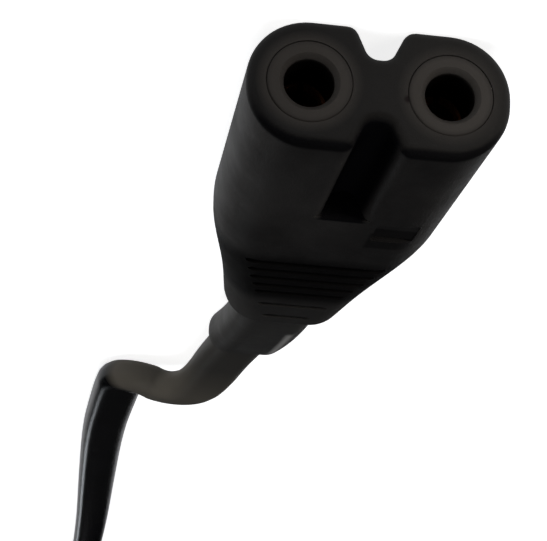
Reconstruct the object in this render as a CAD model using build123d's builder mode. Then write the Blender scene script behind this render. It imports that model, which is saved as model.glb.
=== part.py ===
from build123d import *
import os
from math import atan, cos, pi, radians, sin, tan

# A two-core mains lead. A two-hole appliance connector lies flat on its broad side, its face towards -Y.
# A flat cord leaves its neck, makes a short S-bend and runs back along +Y. The spare length is folded
# into a tied hank, and the far end is a flat two-pin plug. The surface that it all lies on is z = 0.
# The origin is under the middle of the connector, on that surface.

os.makedirs("parts", exist_ok=True)

# Connector: face and keying notches
face_width = 15.6
face_height = 7.8
side_flat = 0.4
rim_radius = 0.6
notch_length = 12.4
notch_depth = 1.95
notch_mouth = 3.1
notch_floor = 1.3
notch_lip_radius = 0.8
notch_floor_radius = 0.85

# Connector: tapered grip and neck behind the socket part
connector_length = 60.0
grip_start = 18.5
grip_end = 42.0
grip_end_width = 9.6
grip_end_height = 6.4
grip_rear_edge = 1.5
neck_root_width = 6.9
neck_root_height = 4.2
neck_end_width = 7.1
neck_end_height = 4.2
neck_radius = 1.9
neck_lean = 0.9
neck_droop = 1.0

# Share of the grip's taper, and of the neck's bend, that is done at each share of the length
grip_taper = [(0.0, 0.0), (0.12, 0.04), (0.38, 0.33), (0.75, 0.77), (1.0, 1.0)]
neck_bend = [(0.0, 0.0), (0.4, 0.05), (0.7, 0.4), (1.0, 1.0)]

# Connector: finger ribs on both broad sides, as grooves across the grip
fine_groove_count = 5
fine_groove_start = 23.4
fine_groove_pitch = 2.0
fine_groove_width = 0.9
fine_groove_half_length = 5.0
fine_groove_step = 0.4
wide_groove_count = 2
wide_groove_gap = 3.6
wide_groove_half_length = 2.7
wide_groove_step = 0.75
groove_depth = 0.45
mark_length = 2.9
mark_width = 3.2
mark_depth = 0.35
mark_x = -3.9
mark_start = 14.5

# Contacts and their carrier
hole_spacing = 8.3
entry_radius = 1.5
entry_depth = 1.8
entry_edge = 0.3
nose_radius = 2.55
nose_edge = 0.15
web_start = 4.0
web_height = 2.3
flange_setback = 0.7
flange_length = 2.4
flange_width = 13.8
flange_height = 5.4
flange_radius = 2.5
chamber_radius = 1.7
contact_start = 4.0
contact_end = 12.5
contact_radius = 1.2
contact_wall = 0.4
contact_lead_in = 0.2
contact_floor = 1.5
contact_slit = 0.4
crimp_length = 4.5
crimp_wall = 0.4

# Cord: flat two-core sheath, its cores and their copper
cord_width = 5.2
cord_thickness = 3.2
core_radius = 1.15
core_pitch = 2.5
wire_radius = 0.55
core_bend_radius = 4.0
connector_core_start = 20.2
connector_core_straight = 3.0
sheath_inlet = 4.0

# Route of the lead: out of the neck, down to the surface, S-bend, and along the surface to the hank
lead_route = [
    (0.0, 4.0, 3.9),
    (0.0, 17.0, 3.9),
    (0.9, 30.0, 2.9),
    (2.3, 42.0, 2.9),
    (3.3, 54.4, 3.2),
    (11.6, 56.4, 1.6),
    (11.8, 68.0, 1.6),
    (12.5, 86.0, 1.6),
    (12.3, 120.0, 1.6),
    (12.0, 163.0, 1.6),
    (12.0, 203.0, 1.6),
]

# Hank: folded turns, squeezed together in the middle by a tie
turns = 4
layer_pitch = 3.3
fold_radius = 16.0
fold_span = 84.0
waist_gap = 0.3
stub_reach = 21.0
tail_stub_reach = 14.0
tie_width = 4.0
tie_thickness = 0.6
tie_radius = 1.5
tie_clearance = 0.15

# Route of the tail: off the top of the hank and down into the plug
tail_route = [
    (12.0, 322.0, 14.8),
    (12.0, 331.5, 14.8),
    (9.0, 343.0, 11.2),
    (1.4, 352.0, 7.9),
    (-3.4, 362.5, 6.85),
    (-4.0, 373.0, 6.85),
    (-4.0, 383.0, 6.85),
]

# Plug: body
plug_width = 35.3
plug_height = 13.7
plug_corner_radius = 6.0
plug_rim_radius = 1.0
plug_straight = 8.0
plug_length = 36.0
plug_end_width = 9.0
plug_end_height = 7.4
plug_end_radius = 2.6
plug_taper = [(0.0, 0.0), (0.2, 0.06), (0.45, 0.3), (0.75, 0.72), (1.0, 1.0)]
plug_neck_length = 20.0
plug_groove_count = 4
plug_groove_start = 13.0
plug_groove_pitch = 2.6
plug_groove_width = 1.2
plug_groove_half_length = 7.5
plug_groove_step = 1.1

# Plug: pins, sleeves and their carrier
pin_spacing = 18.6
pin_tip_spacing = 17.5
pin_length = 19.0
pin_radius = 2.0
pin_tip_edge = 1.3
sleeve_length = 10.0
sleeve_radius = 1.8
sleeve_inlet = 1.5
shank_radius = 1.4
collar_radius = 2.3
collar_start = 3.0
collar_length = 2.0
shank_inlet = 8.0
barrel_length = 4.5
barrel_radius = 1.3
bridge_start = 1.5
bridge_length = 5.5
bridge_width = 26.0
bridge_height = 8.0
bridge_radius = 1.5
plug_core_start = 14.0
plug_core_straight = 3.0
plug_sheath_start = 35.0

# Places that follow from the sizes above
side_radius = (face_height - side_flat) / 2
carrier_length = notch_length + flange_setback + flange_length
face_y = -connector_length / 2
axis_z = face_height / 2
hank_x = lead_route[-1][0] - fold_radius
hank_near_y = lead_route[-1][1] + stub_reach
hank_far_y = hank_near_y + fold_span
layers = turns + 1
hank_height = layers * layer_pitch
plug_x = tail_route[-1][0]
plug_z = tail_route[-1][2]
plug_face_y = tail_route[-1][1] + plug_sheath_start
sides = {"left": -1, "right": 1}


def behind_face(distance, x=0.0, drop=0.0):
    """A plane across the connector, at a distance behind its face."""
    return Plane(origin=(x, face_y + distance, axis_z - drop), x_dir=(1, 0, 0), z_dir=(0, 1, 0))


def behind_plug(distance):
    """A plane across the plug, at a distance behind its face."""
    return Plane(origin=(plug_x, plug_face_y - distance, plug_z), x_dir=(1, 0, 0), z_dir=(0, 1, 0))


def corner_radii(route):
    """The bend at each corner of a route, as large as the two runs beside it allow."""
    points = [Vector(*p) for p in route]
    radii = []
    for before, corner, after in zip(points, points[1:], points[2:]):
        turn = radians((corner - before).get_angle(after - corner))
        shorter = min((corner - before).length, (after - corner).length)
        radii.append(0.45 * shorter / tan(turn / 2))
    return radii


def lay_cord(name, route):
    """The flat cord swept along straight runs joined by tangent arcs."""
    radii = corner_radii(route)
    first = Vector(*route[1]) - Vector(*route[0])
    with BuildPart() as cord:
        with BuildLine() as path:
            FilletPolyline(*route, radius=radii)
        with BuildSketch(Plane(origin=route[0], x_dir=first.cross(Vector(0, 0, 1)), z_dir=first)):
            SlotOverall(cord_width, cord_thickness)
        sweep(path=path.line)
    section = (cord_width - cord_thickness) * cord_thickness + pi * cord_thickness**2 / 4
    length = path.wire().length
    expected = section * length
    print(name, "radii", [round(r, 1) for r in radii], "length", round(length, 1))
    print(name, "volume", round(cord.part.volume, 1), "section times length", round(expected, 1))
    return cord, length


def bend_core(start, straight, end, inlet):
    """An insulated core that runs along Y at both ends and crosses over between them."""
    direction = 1 if end[1] > start[1] else -1
    points = [
        start,
        (start[0], start[1] + direction * straight, start[2]),
        (end[0], end[1] - direction * inlet, end[2]),
        end,
    ]
    with BuildPart() as core:
        with BuildLine() as path:
            FilletPolyline(*points, radius=core_bend_radius)
        with BuildSketch(Plane(origin=start, x_dir=(1, 0, 0), z_dir=(0, direction, 0))):
            Circle(core_radius)
        sweep(path=path.line)
    return core


def write(piece, name):
    """Labels a finished piece and writes it."""
    piece.part.label = name
    export_step(piece.part, f"parts/{name}.step")


# Carrier of the connector's contacts: two noses that show in the face, a web and a locking flange
with BuildPart() as contact_carrier:
    with BuildSketch(behind_face(0)):
        with GridLocations(hole_spacing, 0, 2, 1):
            Circle(nose_radius)
    extrude(amount=carrier_length)
    fillet(contact_carrier.edges().group_by(Axis.Y)[0], nose_edge)
    with BuildSketch(behind_face(web_start)):
        Rectangle(hole_spacing, web_height)
    extrude(amount=carrier_length - web_start)
    with BuildSketch(behind_face(carrier_length - flange_length)):
        RectangleRounded(flange_width, flange_height, flange_radius)
    extrude(amount=flange_length)
    with BuildSketch(behind_face(0)):
        with GridLocations(hole_spacing, 0, 2, 1):
            Circle(entry_radius)
    extrude(amount=entry_depth, mode=Mode.SUBTRACT)
    mouths = contact_carrier.edges().filter_by(GeomType.CIRCLE).group_by(Axis.Y)[0]
    chamfer([e for e in mouths if e.radius < entry_radius + entry_edge / 2], entry_edge)
    with BuildSketch(behind_face(entry_depth)):
        with GridLocations(hole_spacing, 0, 2, 1):
            Circle(chamber_radius)
    extrude(amount=carrier_length - entry_depth, mode=Mode.SUBTRACT)
write(contact_carrier, "contact_carrier")

# Spring contacts: a slit sleeve for the appliance's pin, a closed floor, and a crimp at the back
contacts, connector_wires, connector_cores = {}, {}, {}
crimp_start = contact_end + contact_floor
crimp_end = crimp_start + crimp_length
crimp_radius = wire_radius + crimp_wall
for name, side in sides.items():
    x = side * hole_spacing / 2
    with BuildPart() as contact:
        with BuildSketch(Plane(origin=(x, face_y, axis_z), x_dir=(1, 0, 0), z_dir=(0, 0, 1))):
            with BuildLine():
                Polyline(
                    (contact_radius + contact_lead_in, contact_start),
                    (contact_radius + contact_wall, contact_start),
                    (contact_radius + contact_wall, contact_end),
                    (crimp_radius, crimp_start),
                    (crimp_radius, crimp_end),
                    (wire_radius, crimp_end),
                    (wire_radius, crimp_start),
                    (0, crimp_start),
                    (0, contact_end),
                    (contact_radius, contact_end),
                    (contact_radius, contact_start + contact_lead_in),
                    close=True,
                )
            make_face()
        revolve(axis=Axis((x, face_y, axis_z), (0, 1, 0)))
        with BuildSketch(behind_face(contact_start, x)):
            with Locations((0, contact_radius)):
                Rectangle(contact_slit, 2 * contact_radius)
        extrude(amount=contact_end - contact_start - contact_floor, mode=Mode.SUBTRACT)
    contacts[name] = contact
    write(contact, f"contact_{name}")

    with BuildPart() as wire:
        with BuildSketch(behind_face(crimp_start, x)):
            Circle(wire_radius)
        extrude(amount=connector_core_start - crimp_start)
    connector_wires[name] = wire
    write(wire, f"connector_wire_{name}")

    core_start = (x, face_y + connector_core_start, axis_z)
    core_end = (side * core_pitch / 2, lead_route[0][1], axis_z)
    core = bend_core(core_start, connector_core_straight, core_end, sheath_inlet)
    connector_cores[name] = core
    write(core, f"connector_core_{name}")

# Cord from the connector to the hank
cord_lead, lead_length = lay_cord("cord_lead", lead_route)
write(cord_lead, "cord_lead")

# Connector shell: socket part with its keying notches, swell, grip and neck, moulded round the rest
with BuildPart() as connector_shell:
    with BuildSketch(behind_face(0)) as front:
        RectangleRounded(face_width, face_height, side_radius)
        for end in (-1, 1):
            top, floor = end * face_height, end * (face_height / 2 - notch_depth)
            slope = (notch_mouth - notch_floor) / (2 * notch_depth)
            reach = notch_floor / 2 + slope * (face_height / 2 + notch_depth)
            with BuildLine():
                Polyline(
                    (-notch_floor / 2, floor),
                    (notch_floor / 2, floor),
                    (reach, top),
                    (-reach, top),
                    close=True,
                )
            make_face(mode=Mode.SUBTRACT)
        corners = front.vertices().filter_by(lambda v: abs(v.X) < notch_mouth)
        lips = corners.filter_by(lambda v: abs(v.Y) > (face_height - notch_depth) / 2)
        fillet(lips, notch_lip_radius)
        corners = front.vertices().filter_by(lambda v: abs(v.X) < notch_floor)
        feet = corners.filter_by(lambda v: abs(v.Y) < face_height / 2 - 0.9 * notch_depth)
        fillet(feet, notch_floor_radius)
    extrude(amount=notch_length)
    fillet(connector_shell.edges().group_by(Axis.Y)[0], rim_radius)
    with BuildSketch(behind_face(notch_length)):
        RectangleRounded(face_width, face_height, side_radius)
    extrude(amount=grip_start - notch_length)
    for place, share in grip_taper:
        width = face_width + share * (grip_end_width - face_width)
        height = face_height + place * (grip_end_height - face_height)
        with BuildSketch(behind_face(grip_start + place * (grip_end - grip_start))):
            RectangleRounded(width, height, (height - side_flat) / 2)
    loft()
    fillet(connector_shell.edges().group_by(Axis.Y)[-1], grip_rear_edge)
    neck_start = grip_end - 2 * grip_rear_edge
    for place, bend in neck_bend:
        distance = neck_start + place * (connector_length - neck_start)
        with BuildSketch(behind_face(distance, neck_lean * bend, neck_droop * bend)):
            RectangleRounded(
                neck_root_width + place * (neck_end_width - neck_root_width),
                neck_root_height + place * (neck_end_height - neck_root_height),
                neck_radius,
            )
    loft()
    grooves = [
        (fine_groove_start + i * fine_groove_pitch, fine_groove_half_length - i * fine_groove_step)
        for i in range(fine_groove_count)
    ]
    last = fine_groove_start + (fine_groove_count - 1) * fine_groove_pitch
    grooves += [
        (last + (i + 1) * wide_groove_gap, wide_groove_half_length - i * wide_groove_step)
        for i in range(wide_groove_count)
    ]
    for distance, half_length in grooves:
        share = (distance - grip_start) / (grip_end - grip_start)
        top = (face_height + share * (grip_end_height - face_height)) / 2
        for end in (-1, 1):
            level = axis_z + end * (top - groove_depth)
            with BuildSketch(Plane(origin=(0, face_y + distance, level), z_dir=(0, 0, end))):
                SlotOverall(2 * half_length, fine_groove_width)
            extrude(amount=2 * groove_depth, mode=Mode.SUBTRACT)
    with BuildSketch(Plane.XY.offset(face_height - mark_depth)):
        with Locations((mark_x, face_y + mark_start)):
            RectangleRounded(mark_length, mark_width, mark_depth)
    extrude(amount=2 * mark_depth, mode=Mode.SUBTRACT)
    with BuildSketch(behind_face(0)):
        with GridLocations(hole_spacing, 0, 2, 1):
            Circle(nose_radius)
    extrude(amount=carrier_length, mode=Mode.SUBTRACT)
    add(contact_carrier.part, mode=Mode.SUBTRACT)
    for name in sides:
        add(contacts[name].part, mode=Mode.SUBTRACT)
        add(connector_wires[name].part, mode=Mode.SUBTRACT)
        add(connector_cores[name].part, mode=Mode.SUBTRACT)
    add(cord_lead.part, mode=Mode.SUBTRACT)
write(connector_shell, "connector_shell")

# Tie round the middle of the hank
waist_half = cord_width + waist_gap / 2
with BuildPart() as hank_tie:
    middle = (hank_x, (hank_near_y + hank_far_y - tie_width) / 2, hank_height / 2 + tie_thickness / 2)
    with BuildSketch(Plane(origin=middle, x_dir=(1, 0, 0), z_dir=(0, 1, 0))):
        inside = 2 * (waist_half + tie_clearance)
        RectangleRounded(
            inside + 2 * tie_thickness, hank_height + tie_thickness, tie_radius + tie_thickness
        )
        RectangleRounded(inside, hank_height - tie_thickness, tie_radius, mode=Mode.SUBTRACT)
    extrude(amount=tie_width)
write(hank_tie, "hank_tie")

# Hank: outer shape of the folded turns, with a stub of cord where the lead joins and the tail leaves
with BuildPart() as cord_hank:
    hank_centre = Plane((hank_x, (hank_near_y + hank_far_y) / 2, 0))
    side_shift = fold_radius - cord_width / 2 - waist_gap / 2
    with BuildSketch(hank_centre):
        with BuildLine():
            waist_point = (fold_radius - side_shift, 0)
            half_way = (fold_radius - side_shift / 2, fold_span / 4)
            lower = TangentArc(waist_point, half_way, tangent=(0, 1))
            TangentArc(half_way, (fold_radius, fold_span / 2), tangent=lower % 1)
            CenterArc((0, fold_span / 2), fold_radius, 0, 90)
            mirror(about=Plane.YZ)
            mirror(about=Plane.XZ)
        make_face()
        offset(amount=cord_width / 2)
        with Locations((0, fold_span / 2), (0, -fold_span / 2)):
            Circle(fold_radius - cord_width / 2, mode=Mode.SUBTRACT)
    extrude(amount=hank_height)
    add(hank_tie.part, mode=Mode.SUBTRACT)
    with BuildSketch(Plane(origin=lead_route[-1], x_dir=(1, 0, 0), z_dir=(0, 1, 0))):
        SlotOverall(cord_width, cord_thickness)
    extrude(amount=stub_reach)
    with BuildSketch(Plane(origin=tail_route[0], x_dir=(1, 0, 0), z_dir=(0, 1, 0))):
        SlotOverall(cord_width, cord_thickness)
    extrude(amount=-tail_stub_reach)
write(cord_hank, "cord_hank")

# Cord from the hank to the plug
cord_tail, tail_length = lay_cord("cord_tail", tail_route)
write(cord_tail, "cord_tail")

# The whole cord's length, with one run more than the whole turns because the tail leaves at the far end
side_radius_of_turn = ((fold_span / 2) ** 2 + side_shift**2) / (4 * side_shift)
side_arc = 4 * side_radius_of_turn * atan(2 * side_shift / fold_span)
turn_length = 2 * pi * fold_radius + 4 * side_arc
hank_length = turns * turn_length + 2 * side_arc + stub_reach + tail_stub_reach
print("cord length", round(lead_length + hank_length + tail_length, 1), "one turn", round(turn_length, 1))

# Plug pins lean towards each other, each with its sleeve, and sit in one carrier
lean = atan((pin_spacing - pin_tip_spacing) / 2 / pin_length)
pins, pin_sleeves, plug_wires, plug_cores = {}, {}, {}, {}
for name, side in sides.items():
    foot = (plug_x + side * pin_spacing / 2, plug_face_y, plug_z)
    along = (-side * sin(lean), cos(lean), 0)
    across = (cos(lean), side * sin(lean), 0)
    half_section = Plane(origin=foot, x_dir=across, z_dir=(0, 0, 1))
    barrel_start = -shank_inlet
    with BuildPart() as pin:
        with BuildSketch(half_section):
            with BuildLine():
                Polyline(
                    (0, pin_length),
                    (pin_radius - pin_tip_edge, pin_length),
                    (pin_radius, pin_length - pin_tip_edge),
                    (pin_radius, sleeve_length),
                    (shank_radius, sleeve_length),
                    (shank_radius, -collar_start),
                    (collar_radius, -collar_start),
                    (collar_radius, -collar_start - collar_length),
                    (shank_radius, -collar_start - collar_length),
                    (shank_radius, barrel_start),
                    (barrel_radius, barrel_start),
                    (barrel_radius, barrel_start - barrel_length),
                    (wire_radius, barrel_start - barrel_length),
                    (wire_radius, barrel_start),
                    (0, barrel_start),
                    close=True,
                )
            make_face()
        revolve(axis=Axis(foot, along))
    pins[name] = pin
    write(pin, f"plug_pin_{name}")

    with BuildPart() as sleeve:
        with BuildSketch(half_section):
            with Locations(((sleeve_radius + shank_radius) / 2, (sleeve_length - sleeve_inlet) / 2)):
                Rectangle(sleeve_radius - shank_radius, sleeve_length + sleeve_inlet)
        revolve(axis=Axis(foot, along))
    pin_sleeves[name] = sleeve
    write(sleeve, f"pin_sleeve_{name}")

    wire_start = Plane(origin=foot, x_dir=across, z_dir=along).offset(barrel_start)
    with BuildPart() as wire:
        with BuildSketch(wire_start):
            Circle(wire_radius)
        extrude(amount=-(plug_core_start - shank_inlet))
    plug_wires[name] = wire
    write(wire, f"plug_wire_{name}")

    core_x = foot[0] + side * sin(lean) * plug_core_start
    core_start = (core_x, plug_face_y - cos(lean) * plug_core_start, plug_z)
    core_end = (plug_x + side * core_pitch / 2, tail_route[-1][1], plug_z)
    core = bend_core(core_start, plug_core_straight, core_end, sheath_inlet)
    plug_cores[name] = core
    write(core, f"plug_core_{name}")

with BuildPart() as pin_carrier:
    with BuildSketch(behind_plug(bridge_start + bridge_length)):
        RectangleRounded(bridge_width, bridge_height, bridge_radius)
    extrude(amount=bridge_length)
    for name in sides:
        add(pins[name].part, mode=Mode.SUBTRACT)
        add(pin_sleeves[name].part, mode=Mode.SUBTRACT)
write(pin_carrier, "pin_carrier")

# Plug shell: flat two-pin body, tapered to its neck, moulded round the rest
with BuildPart() as plug_shell:
    with BuildSketch(behind_plug(0)):
        RectangleRounded(plug_width, plug_height, plug_corner_radius)
    extrude(amount=-plug_straight)
    fillet(plug_shell.edges().group_by(Axis.Y)[-1], plug_rim_radius)
    for place, share in plug_taper:
        with BuildSketch(behind_plug(plug_straight + place * (plug_length - plug_straight))):
            RectangleRounded(
                plug_width + share * (plug_end_width - plug_width),
                plug_height + share * (plug_end_height - plug_height),
                plug_corner_radius + share * (plug_end_radius - plug_corner_radius),
            )
    loft()
    for place in (0.0, 1.0):
        with BuildSketch(behind_plug(plug_length - 1 + place * (plug_neck_length + 1))):
            RectangleRounded(
                neck_root_width + place * (neck_end_width - neck_root_width),
                neck_root_height + place * (neck_end_height - neck_root_height),
                neck_radius,
            )
    loft()
    for i in range(plug_groove_count):
        distance = plug_groove_start + i * plug_groove_pitch
        share = (distance - plug_straight) / (plug_length - plug_straight)
        top = (plug_height + share * (plug_end_height - plug_height)) / 2
        for end in (-1, 1):
            level = plug_z + end * (top - groove_depth)
            place = (plug_x, plug_face_y - distance, level)
            with BuildSketch(Plane(origin=place, z_dir=(0, 0, end))):
                SlotOverall(2 * (plug_groove_half_length - i * plug_groove_step), plug_groove_width)
            extrude(amount=4 * groove_depth, mode=Mode.SUBTRACT)
    add(pin_carrier.part, mode=Mode.SUBTRACT)
    for name in sides:
        add(pins[name].part, mode=Mode.SUBTRACT)
        add(pin_sleeves[name].part, mode=Mode.SUBTRACT)
        add(plug_wires[name].part, mode=Mode.SUBTRACT)
        add(plug_cores[name].part, mode=Mode.SUBTRACT)
    add(cord_tail.part, mode=Mode.SUBTRACT)
write(plug_shell, "plug_shell")
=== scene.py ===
"""Looks of a two-core mains lead: appliance connector, flat cord, tied hank and flat plug."""
import math
import random

import bmesh
import bpy
from mathutils import Matrix, Vector


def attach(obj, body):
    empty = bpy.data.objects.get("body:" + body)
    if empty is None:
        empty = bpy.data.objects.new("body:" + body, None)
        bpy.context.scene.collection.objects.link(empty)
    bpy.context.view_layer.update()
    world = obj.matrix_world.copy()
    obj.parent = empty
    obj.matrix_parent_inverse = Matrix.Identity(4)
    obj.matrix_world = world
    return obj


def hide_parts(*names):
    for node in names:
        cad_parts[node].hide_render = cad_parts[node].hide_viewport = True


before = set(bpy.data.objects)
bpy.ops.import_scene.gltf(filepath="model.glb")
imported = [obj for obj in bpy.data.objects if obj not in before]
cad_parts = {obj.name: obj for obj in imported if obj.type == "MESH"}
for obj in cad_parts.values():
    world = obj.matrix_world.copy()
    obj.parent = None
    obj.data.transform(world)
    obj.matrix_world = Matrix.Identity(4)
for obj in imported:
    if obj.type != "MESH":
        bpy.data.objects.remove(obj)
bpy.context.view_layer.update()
MM = 0.001
WHITE = (1.0, 1.0, 1.0)
scene = bpy.context.scene
scene.view_settings.view_transform = "Standard"

# Camera. It sees the lead upside down, with the surface above the connector.
SENSOR_WIDTH = 36.0
FOCAL_PIXELS = 1650.0
PICTURE_WIDTH = 547.0
CAMERA_RIGHT = Vector((-0.99014, -0.13017, -0.05183))
CAMERA_UP = Vector((0.08762, -0.28664, -0.95402))
CAMERA_BACK = Vector((0.10933, -0.94916, 0.29521))
CAMERA_PLACE = Vector((15.63, -116.57, 42.38)) * MM

camera_data = bpy.data.cameras.new("camera")
camera_data.sensor_fit = "HORIZONTAL"
camera_data.sensor_width = SENSOR_WIDTH
camera_data.lens = SENSOR_WIDTH * FOCAL_PIXELS / PICTURE_WIDTH
camera_data.clip_start = 0.005
camera_data.clip_end = 20.0
camera = bpy.data.objects.new("camera", camera_data)
scene.collection.objects.link(camera)
camera_axes = Matrix((CAMERA_RIGHT, CAMERA_UP, CAMERA_BACK)).transposed()
camera.matrix_world = Matrix.Translation(CAMERA_PLACE) @ camera_axes.to_4x4()
scene.camera = camera

# Cord: its section, its turns and the points that its middle line follows, in millimetres
CORD_WIDTH = 5.2
CORD_THICKNESS = 3.2
FLOOR_Z = CORD_THICKNESS / 2
LAYER = 3.3
FOLD_RADIUS = 16.0
WAIST = 3.1
SIDE_WIDTH = 11.3
HANK_X = -4.0
NEAR_Y = 224.0
FAR_Y = 308.0
TURNS = 4
LOOP_ANGLES = (26, 58, 90, 122, 154)
CLIMB_START = 70.0
CLIMB_LENGTH = 95.0
LOOP_SWELL = 1.02
UV_LENGTH = 0.02

lead = [
    (0.0, 4.0, 3.9), (0.0, 17.0, 3.9), (0.9, 30.0, 2.9), (2.1, 40.0, 2.9), (2.8, 47.0, 3.2),
    (4.0, 52.6, 3.4), (6.6, 55.2, 3.1), (9.6, 55.2, 2.1), (11.3, 57.3, 1.6), (11.6, 61.0, 1.6),
    (11.9, 68.0, 1.6), (12.5, 86.0, 1.6), (12.3, 120.0, 1.6), (11.9, 164.0, 1.6),
    (12.0, 203.0, 1.6), (12.0, 214.0, 1.6),
]
tail = [
    (12.0, 322.0, 14.8), (12.0, 331.5, 14.8), (9.0, 343.0, 11.2), (1.4, 352.0, 7.9),
    (-3.4, 362.5, 6.85), (-4.0, 373.0, 6.85), (-4.0, 383.0, 6.85),
]


def hank_points():
    """Control points of the folded turns, from the lead's run to the tail's run."""
    rng = random.Random(5)
    middle = (NEAR_Y + FAR_Y) / 2
    half = (FAR_Y - NEAR_Y) / 2
    points = []

    def run(side, upward, layer):
        """One side of the hank from loop to loop, drawn in at the tie."""
        shares = (-1.0, -0.62, -0.22, 0.22, 0.62, 1.0)
        widths = (FOLD_RADIUS, SIDE_WIDTH, WAIST, WAIST, SIDE_WIDTH, FOLD_RADIUS)
        for share, width in zip(shares, widths):
            loose = 0.0 if abs(share) < 0.3 else rng.uniform(-0.35, 0.2)
            y = middle + (share if upward else -share) * half
            points.append((HANK_X + side * (width + loose), y, layer))

    def loop(side, centre, outward, z0, z1):
        """Half a turn round an end of the hank, from one side to the other, climbing if asked."""
        radius = (FOLD_RADIUS + rng.uniform(-0.45, 0.35)) * LOOP_SWELL
        for degrees in LOOP_ANGLES:
            a = math.radians(degrees)
            climb = min(1.0, max(0.0, (degrees - CLIMB_START) / CLIMB_LENGTH))
            x = HANK_X + side * radius * math.cos(a)
            y = centre + outward * radius * math.sin(a)
            points.append((x, y, z0 + (z1 - z0) * climb))

    for turn in range(TURNS + 1):
        z = FLOOR_Z + turn * LAYER
        run(1, True, z)
        if turn < TURNS:
            loop(1, FAR_Y, 1, z, z)
            run(-1, False, z)
            loop(-1, NEAR_Y, -1, z, z + LAYER)
    return points


def line_points(points):
    """Points along the smooth line that the control points give."""
    data = bpy.data.curves.new("middle_line", "CURVE")
    data.dimensions = "3D"
    spline = data.splines.new("NURBS")
    spline.points.add(len(points) - 1)
    for item, (x, y, z) in zip(spline.points, points):
        item.co = (x * MM, y * MM, z * MM, 1.0)
    spline.order_u = 3
    spline.use_endpoint_u = True
    spline.resolution_u = 12
    obj = bpy.data.objects.new("middle_line", data)
    scene.collection.objects.link(obj)
    bpy.context.view_layer.update()
    graph = bpy.context.evaluated_depsgraph_get()
    mesh = bpy.data.meshes.new_from_object(obj.evaluated_get(graph))
    line = [v.co.copy() for v in mesh.vertices]
    bpy.data.meshes.remove(mesh)
    bpy.data.objects.remove(obj)
    bpy.data.curves.remove(data)
    return line


def flat_profile(width, thickness, steps):
    """A level section with half-round edges."""
    profile = []
    straight = (width - thickness) / 2
    for side in (1, -1):
        for k in range(steps + 1):
            a = math.pi * k / steps - math.pi / 2
            x = side * (straight + math.cos(a) * thickness / 2)
            profile.append((x, side * math.sin(a) * thickness / 2))
    return profile


def sweep_flat(name, line, width, thickness, steps=9):
    """A flat sheath with round edges along a line, its broad sides kept level."""
    profile = flat_profile(width, thickness, steps)
    bm = bmesh.new()
    uv = bm.loops.layers.uv.new("UVMap")
    rings = []
    lengths = []
    travelled = 0.0
    for i, point in enumerate(line):
        before, after = line[max(i - 1, 0)], line[min(i + 1, len(line) - 1)]
        ahead = (after - before).normalized()
        across = ahead.cross(Vector((0.0, 0.0, 1.0))).normalized()
        over = across.cross(ahead)
        if i:
            travelled += (point - line[i - 1]).length
        lengths.append(travelled)
        rings.append([bm.verts.new(point + across * x * MM + over * y * MM) for x, y in profile])
    count = len(profile)
    for i in range(len(rings) - 1):
        for k in range(count):
            n = (k + 1) % count
            face = bm.faces.new((rings[i][k], rings[i][n], rings[i + 1][n], rings[i + 1][k]))
            face.smooth = True
            for loop, (u, v) in zip(face.loops, ((k, i), (k + 1, i), (k + 1, i + 1), (k, i + 1))):
                loop[uv].uv = (u / count, lengths[v] / UV_LENGTH)
    bm.faces.new(rings[0])
    bm.faces.new(list(reversed(rings[-1])))
    bmesh.ops.recalc_face_normals(bm, faces=bm.faces)
    mesh = bpy.data.meshes.new(name)
    bm.to_mesh(mesh)
    bm.free()
    obj = bpy.data.objects.new(name, mesh)
    scene.collection.objects.link(obj)
    return obj


cord_line = line_points(lead + hank_points() + tail)
cord = sweep_flat("cord", cord_line, CORD_WIDTH, CORD_THICKNESS)
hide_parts("cord_lead", "cord_hank", "cord_tail")
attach(cord, "root")

# Materials. Places on the object are in millimetres, and tones are linear colours.
PLASTIC_IOR = 1.47
GRAIN_HEIGHT = 0.00004
DRAWN_HEIGHT = 0.00003
DULL = 0.17
SATIN = (0.46, 0.58)
GLOSSY = (0.28, 0.40)
MIDDLE_HEIGHT = 3.9
HOLE_X = 4.15


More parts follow.
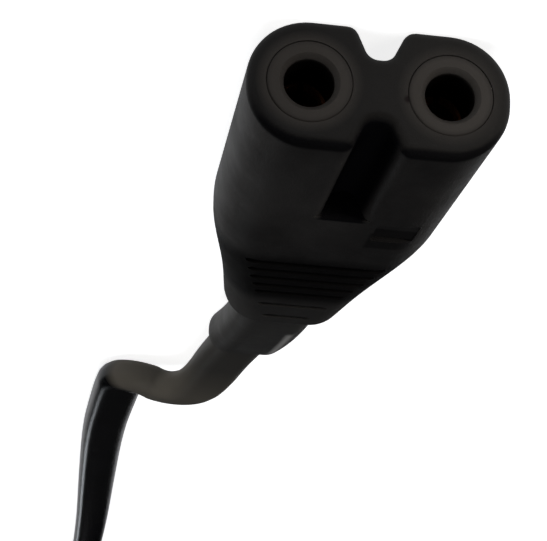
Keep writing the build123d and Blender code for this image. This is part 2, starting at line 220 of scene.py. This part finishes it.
class Nodes:
    """Short names for making a material's nodes."""

    def __init__(self, name):
        self.material = bpy.data.materials.new(name)
        self.material.use_nodes = True
        self.tree = self.material.node_tree
        self.shader = self.tree.nodes["Principled BSDF"]
        self.where = self.add("ShaderNodeTexCoord").outputs["Object"]

    def add(self, kind, **settings):
        node = self.tree.nodes.new(kind)
        for key, value in settings.items():
            setattr(node, key, value)
        return node

    def link(self, a, b):
        self.tree.links.new(a, b)

    def set(self, key, value):
        """Gives the shader a value, a colour or the output of a node."""
        socket = self.shader.inputs[key]
        if hasattr(value, "is_output"):
            self.link(value, socket)
        elif isinstance(value, tuple):
            socket.default_value = (*value, 1.0)
        else:
            socket.default_value = value

    def noise(self, scale, detail=3.0, roughness=0.6, stretch=None):
        node = self.add("ShaderNodeTexNoise")
        node.inputs["Scale"].default_value = scale
        node.inputs["Detail"].default_value = detail
        node.inputs["Roughness"].default_value = roughness
        if stretch:
            mapping = self.add("ShaderNodeMapping")
            mapping.inputs["Scale"].default_value = stretch
            self.link(self.where, mapping.inputs["Vector"])
            self.link(mapping.outputs["Vector"], node.inputs["Vector"])
        else:
            self.link(self.where, node.inputs["Vector"])
        return node.outputs["Fac"]

    def span(self, value, low, high, out_low, out_high):
        node = self.add("ShaderNodeMapRange")
        limits = {"From Min": low, "From Max": high, "To Min": out_low, "To Max": out_high}
        for key, number in limits.items():
            node.inputs[key].default_value = number
        self.link(value, node.inputs["Value"])
        return node.outputs["Result"]

    def blend(self, factor, a, b):
        node = self.add("ShaderNodeMix", data_type="RGBA")
        for socket, value in (("A", a), ("B", b)):
            target = [s for s in node.inputs if s.name == socket and s.type == "RGBA"][0]
            if isinstance(value, tuple):
                target.default_value = (*value, 1.0)
            else:
                self.link(value, target)
        self.link(factor, node.inputs["Factor"])
        return [s for s in node.outputs if s.type == "RGBA"][0]

    def mottled(self, noise, dark, light):
        """Two tones in soft patches."""
        return self.blend(self.span(noise, 0.35, 0.65, 0.0, 1.0), dark, light)

    def uneven(self, noise, limits):
        """A roughness that wanders between two values."""
        return self.span(noise, 0.3, 0.7, *limits)

    def bump(self, height, strength, distance):
        node = self.add("ShaderNodeBump")
        node.inputs["Strength"].default_value = strength
        node.inputs["Distance"].default_value = distance
        self.link(height, node.inputs["Height"])
        return node.outputs["Normal"]

    def count(self, operation, a, b=None):
        node = self.add("ShaderNodeMath", operation=operation)
        for socket, value in zip(node.inputs, (a, b)):
            if hasattr(value, "is_output"):
                self.link(value, socket)
            elif value is not None:
                socket.default_value = value
        return node.outputs["Value"]

    def times(self, first, *others):
        result = first
        for other in others:
            result = self.count("MULTIPLY", result, other)
        return result

    def along(self, axis):
        node = self.add("ShaderNodeSeparateXYZ")
        self.link(self.where, node.inputs["Vector"])
        return node.outputs[axis]

    def past(self, value, start):
        """How far a place is past a number of millimetres."""
        return self.count("SUBTRACT", value, start * MM)

    def distance(self, a, b):
        """The length of the diagonal over two distances."""
        squares = self.count("ADD", self.times(a, a), self.times(b, b))
        return self.count("SQRT", squares)

    def rise(self, value, start, end):
        """0 before one place in millimetres and 1 after the other."""
        return self.span(value, start * MM, end * MM, 0.0, 1.0)

    def fall(self, value, start, end):
        """1 before one place in millimetres and 0 after the other."""
        return self.span(value, start * MM, end * MM, 1.0, 0.0)

    def band(self, value, start, end, soft):
        """1 between two places in millimetres, and 0 outside them, with soft ends."""
        rise = self.rise(value, start - soft, start + soft)
        return self.times(rise, self.fall(value, end - soft, end + soft))

    def finished(self, specular):
        """The material as a plastic with this much gloss."""
        self.set("IOR", PLASTIC_IOR)
        self.set("Specular IOR Level", specular)
        return self.material


def plastic(name, dark, light, rough, grain, grain_depth, specular):
    """Moulded plastic: soft colour variation, uneven gloss and a fine grain."""
    m = Nodes(name)
    m.set("Base Color", m.mottled(m.noise(60.0, 4.0, 0.55), dark, light))
    m.set("Roughness", m.uneven(m.noise(300.0), rough))
    m.set("Normal", m.bump(m.noise(grain), grain_depth, GRAIN_HEIGHT))
    return m.finished(specular)


def shell_finish():
    """The flexible shell: a dull black, with painted shade in the notches, between the ribs, in the recess
    and under the rim, painted light across the face and on the greyer neck, and a painted highlight streak
    on the neck.
    """
    m = Nodes("shell_black")
    x, y, z = m.along("X"), m.along("Y"), m.along("Z")
    beside = m.count("ABSOLUTE", x)
    height = m.count("ABSOLUTE", m.past(z, MIDDLE_HEIGHT))

    # Painted light: the face grows lighter from one side to the other, and the rest is mottled
    patches = m.noise(110.0, 5.0, 0.6, (1.0, 0.55, 1.0))
    body = m.mottled(patches, (0.0108, 0.0101, 0.0098), (0.0240, 0.0224, 0.0212))
    face = m.fall(y, -29.7, -29.3)
    painted_face_light = m.blend(m.rise(x, 7.0, -7.0), (0.0036, 0.0033, 0.0032), (0.0105, 0.0096, 0.0088))
    tone = m.blend(face, body, painted_face_light)

    # Shade between the ribs, in the small recess and under the rim of the face
    upper_side = m.rise(z, 5.0, 6.5)
    ribs = m.band(y, -8.0, 3.4, 1.0)
    recess = m.times(m.band(x, -5.5, -2.3, 0.12), m.band(y, -15.5, -12.4, 0.12), upper_side)
    from_bend = m.distance(m.count("MAXIMUM", m.past(beside, 4.1), 0.0), height)
    under_rim = m.times(m.rise(from_bend, 3.42, 3.62), upper_side, m.fall(y, -29.4, -29.1))
    tone = m.blend(m.times(ribs, 0.8), tone, (0.0012, 0.0011, 0.0012))
    tone = m.blend(m.times(recess, 0.55), tone, (0.0012, 0.0011, 0.0014))
    tone = m.blend(m.times(under_rim, 0.75), tone, (0.0005, 0.0005, 0.0010))

    # Painted light: the neck is a lighter grey, with a painted highlight streak along one edge
    tone = m.blend(m.rise(y, 2.0, 17.0), tone, (0.0320, 0.0306, 0.0288))
    slanted = m.count("SUBTRACT", x, m.times(y, 0.039))
    streak = m.times(m.band(slanted, -2.72, -2.16, 0.18), m.rise(z, 3.6, 4.2), m.band(y, 19.0, 29.4, 0.5))
    tone = m.blend(streak, tone, (0.26, 0.25, 0.235))

    # A lighter ring round each hole, and a small dark spot in the face
    from_hole = m.distance(m.past(beside, HOLE_X), height)
    ring = m.times(m.fall(from_hole, 2.5, 3.2), m.fall(y, -29.9, -29.7))
    tone = m.blend(ring, tone, (0.0190, 0.0170, 0.0154))
    from_dark_spot = m.distance(m.past(x, -1.61), m.past(z, 4.41))
    tone = m.blend(m.times(m.fall(from_dark_spot, 0.12, 0.30), face), tone, (0.0030, 0.0010, 0.0008))

    # Painted shade in the keying notches and on their end walls
    slot = m.times(m.fall(beside, 2.0, 2.4), m.band(y, -29.7, -17.2, 0.2), m.fall(height, 3.1, 3.8))
    end_wall = m.times(m.band(y, -17.75, -17.2, 0.1), m.band(x, -1.5, 1.5, 0.2))
    notch = m.count("MAXIMUM", slot, end_wall)
    m.set("Base Color", m.blend(m.times(notch, 0.9), tone, (0.0005, 0.0005, 0.0011)))

    rougher = m.times(m.band(y, -8.0, 12.0, 3.0), 0.25)
    m.set("Roughness", m.count("ADD", m.uneven(m.noise(300.0), SATIN), rougher))
    m.set("Normal", m.bump(m.noise(9000.0), 0.35, GRAIN_HEIGHT))
    return m.finished(DULL)


def insert_finish():
    """The hard insert: satin, greyer round the mouths of its two holes with painted light growing from one
    side to the other there, and painted shade inside the holes.
    """
    m = Nodes("insert_black")
    x, y, z = m.along("X"), m.along("Y"), m.along("Z")
    from_hole = m.distance(m.past(m.count("ABSOLUTE", x), HOLE_X), m.past(z, MIDDLE_HEIGHT))
    body = m.mottled(m.noise(80.0, 4.0, 0.55), (0.0050, 0.0045, 0.0042), (0.0076, 0.0068, 0.0064))
    # Painted light: the rings grow lighter from one side to the other
    ring_and_side_light = m.blend(m.rise(x, 7.0, -7.0), (0.0190, 0.0168, 0.0152), (0.0340, 0.0304, 0.0275))
    tone = m.blend(m.band(from_hole, 1.45, 2.5, 0.3), body, ring_and_side_light)
    # Painted shade inside the holes
    m.set("Base Color", m.blend(m.rise(y, -29.75, -29.35), tone, (0.0014, 0.0011, 0.0010)))
    m.set("Roughness", m.uneven(m.noise(400.0), SATIN))
    m.set("Normal", m.bump(m.noise(12000.0), 0.2, GRAIN_HEIGHT))
    return m.finished(DULL)


def cord_finish():
    """The cord's sheath: painted light, a lit grey near the connector and lighter still round the bend,
    and clean and black beyond.
    """
    m = Nodes("cord_black")
    x, y = m.along("X"), m.along("Y")
    # Painted light: lit grey tones for the cord near the connector and round the bend
    painted_light_bend = m.mottled(m.noise(90.0, 4.0, 0.55), (0.072, 0.0645, 0.0530), (0.092, 0.0825, 0.0680))
    clean = m.mottled(m.noise(140.0, 4.0, 0.55), (0.0024, 0.0024, 0.0029), (0.0042, 0.0042, 0.0049))
    wander = m.span(m.noise(160.0, 2.0, 0.5), 0.3, 0.7, -0.5 * MM, 0.5 * MM)
    slant = m.times(m.past(x, 10.0), 0.6)
    far = m.rise(m.count("ADD", m.count("ADD", y, wander), slant), 55.9, 57.9)
    painted_light_near = m.blend(m.fall(y, 40.0, 52.0), painted_light_bend, (0.0360, 0.0338, 0.0305))
    m.set("Base Color", m.blend(far, painted_light_near, clean))
    m.set("Roughness", m.span(far, 0.0, 1.0, 0.50, 0.27))
    m.set("Normal", m.bump(m.noise(5000.0), 0.15, GRAIN_HEIGHT))
    return m.finished(DULL)


def metal(name, dark, light, rough, stretch):
    """Plated or bare metal with fine drawn lines and a little tarnish."""
    m = Nodes(name)
    lines = m.noise(900.0, 2.0, 0.5, (1.0, stretch, 1.0))
    tarnish = m.span(m.noise(300.0, 4.0), 0.35, 0.7, 0.0, 1.0)
    m.set("Base Color", m.blend(tarnish, light, dark))
    m.set("Metallic", 1.0)
    m.set("Roughness", m.uneven(lines, rough))
    m.set("Normal", m.bump(lines, 0.15, DRAWN_HEIGHT))
    return m.material


shell_black = shell_finish()
insert_black = insert_finish()
cord_black = cord_finish()
pin_black = plastic(
    "pin_black", (0.0160, 0.0142, 0.0130), (0.0220, 0.0196, 0.0178),
    rough=SATIN, grain=12000.0, grain_depth=0.2, specular=0.25,
)
plug_black = plastic(
    "plug_black", (0.0115, 0.0105, 0.0100), (0.0165, 0.0150, 0.0140),
    rough=SATIN, grain=9000.0, grain_depth=0.35, specular=0.28,
)
tie_black = plastic(
    "tie_black", (0.015, 0.015, 0.015), (0.022, 0.022, 0.022),
    rough=(0.38, 0.5), grain=7000.0, grain_depth=0.25, specular=0.35,
)
core_brown = plastic(
    "core_brown", (0.060, 0.022, 0.009), (0.085, 0.034, 0.014),
    rough=GLOSSY, grain=5000.0, grain_depth=0.1, specular=0.5,
)
core_blue = plastic(
    "core_blue", (0.008, 0.035, 0.16), (0.012, 0.05, 0.21),
    rough=GLOSSY, grain=5000.0, grain_depth=0.1, specular=0.5,
)
brass = metal("contact_brass", (0.09, 0.026, 0.010), (0.20, 0.075, 0.030), rough=(0.38, 0.55), stretch=0.1)
copper = metal("bare_copper", (0.45, 0.16, 0.08), (0.72, 0.32, 0.18), rough=(0.25, 0.4), stretch=0.1)
plated = metal("plated_pin", (0.48, 0.46, 0.43), (0.66, 0.64, 0.60), rough=(0.14, 0.26), stretch=0.15)

finishes = {
    "connector_shell": shell_black, "contact_carrier": insert_black, "hank_tie": tie_black,
    "plug_shell": plug_black, "pin_carrier": pin_black,
    "connector_core_left": core_brown, "connector_core_right": core_blue,
    "plug_core_left": core_brown, "plug_core_right": core_blue,
    "cord_lead": cord_black, "cord_hank": cord_black, "cord_tail": cord_black,
}
for side in ("left", "right"):
    finishes["contact_" + side] = brass
    finishes["connector_wire_" + side] = copper
    finishes["plug_wire_" + side] = copper
    finishes["plug_pin_" + side] = plated
    finishes["pin_sleeve_" + side] = pin_black
for node_name, material in finishes.items():
    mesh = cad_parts[node_name].data
    mesh.materials.clear()
    mesh.materials.append(material)
cord.data.materials.append(cord_black)

# Floor: pale, and shining a little to the camera and in gloss, so that it looks white
FLOOR_HALF = 3
FLOOR_SHINE = 0.84
FLOOR_SHINE_IN_GLOSS = 0.37
FLOOR_PLACE = (0.0, 0.2, -0.00005)
corners = [(x * FLOOR_HALF, y * FLOOR_HALF, 0) for x, y in ((-1, -1), (1, -1), (1, 1), (-1, 1))]
floor_mesh = bpy.data.meshes.new("floor")
floor_mesh.from_pydata(corners, [], [(0, 1, 2, 3)])
floor = bpy.data.objects.new("floor", floor_mesh)
scene.collection.objects.link(floor)
floor.location = FLOOR_PLACE
pale = Nodes("pale_floor")
pale.set("Base Color", pale.blend(pale.noise(3.0, 3.0, 0.5), (0.86, 0.86, 0.86), (0.90, 0.90, 0.90)))
pale.set("Roughness", 0.8)
pale.set("Specular IOR Level", 0.1)
pale.set("Emission Color", WHITE)
seen = pale.add("ShaderNodeLightPath")
in_gloss = pale.span(seen.outputs["Is Glossy Ray"], 0.0, 1.0, 0.0, FLOOR_SHINE_IN_GLOSS)
share = pale.count("ADD", seen.outputs["Is Camera Ray"], in_gloss)
pale.set("Emission Strength", pale.span(share, 0.0, 1.0, 0.0, FLOOR_SHINE))
floor_mesh.materials.append(pale.material)

# Room: white behind the object, and dim in its gloss, dimmer still towards the far side
ROOM_NEAR = 0.05
ROOM_FAR = 0.012
world = bpy.data.worlds.new("studio")
scene.world = world
world.use_nodes = True
tree = world.node_tree
background = tree.nodes["Background"]
background.inputs["Color"].default_value = (*WHITE, 1.0)
rays = tree.nodes.new("ShaderNodeLightPath")
direction = tree.nodes.new("ShaderNodeTexCoord")
parts = tree.nodes.new("ShaderNodeSeparateXYZ")
room = tree.nodes.new("ShaderNodeMapRange")
room.interpolation_type = "SMOOTHSTEP"
room.inputs["From Min"].default_value = -0.9
room.inputs["From Max"].default_value = 0.35
room.inputs["To Min"].default_value = ROOM_NEAR
room.inputs["To Max"].default_value = ROOM_FAR
strength = tree.nodes.new("ShaderNodeMapRange")
strength.inputs["To Max"].default_value = 1.0
tree.links.new(direction.outputs["Generated"], parts.inputs["Vector"])
tree.links.new(parts.outputs["Y"], room.inputs["Value"])
tree.links.new(room.outputs["Result"], strength.inputs["To Min"])
tree.links.new(rays.outputs["Is Camera Ray"], strength.inputs["Value"])
tree.links.new(strength.outputs["Result"], background.inputs["Strength"])


def lamp(name, place, aim, size, power, colour, mirrored=False):
    """A soft box that shines at a point, and shows in gloss only if asked."""
    data = bpy.data.lights.new(name, "AREA")
    data.shape = "RECTANGLE"
    data.size, data.size_y = size
    data.energy = power
    data.color = colour
    obj = bpy.data.objects.new(name, data)
    scene.collection.objects.link(obj)
    obj.location = place
    obj.rotation_euler = (Vector(aim) - Vector(place)).to_track_quat("-Z", "Y").to_euler()
    obj.visible_glossy = mirrored


lamp("right_box", (-0.62, -0.80, 0.07), (0.0, 0.0, 0.0), (0.50, 0.20), 9.5, (1.0, 0.96, 0.90))
lamp("left_box", (0.95, -0.25, 0.10), (0.0, 0.0, 0.0), (0.50, 0.30), 4.8, (1.0, 0.99, 0.97))
lamp("back_strip", (0.25, 1.5, 0.12), (0.01, 0.1, 0.0), (0.10, 0.10), 0.11, (0.88, 0.94, 1.0), True)
lamp("overhead", (0.0, -0.2, 1.0), (0.0, 0.0, 0.0), (0.8, 0.8), 4.2, (0.90, 0.94, 1.0))
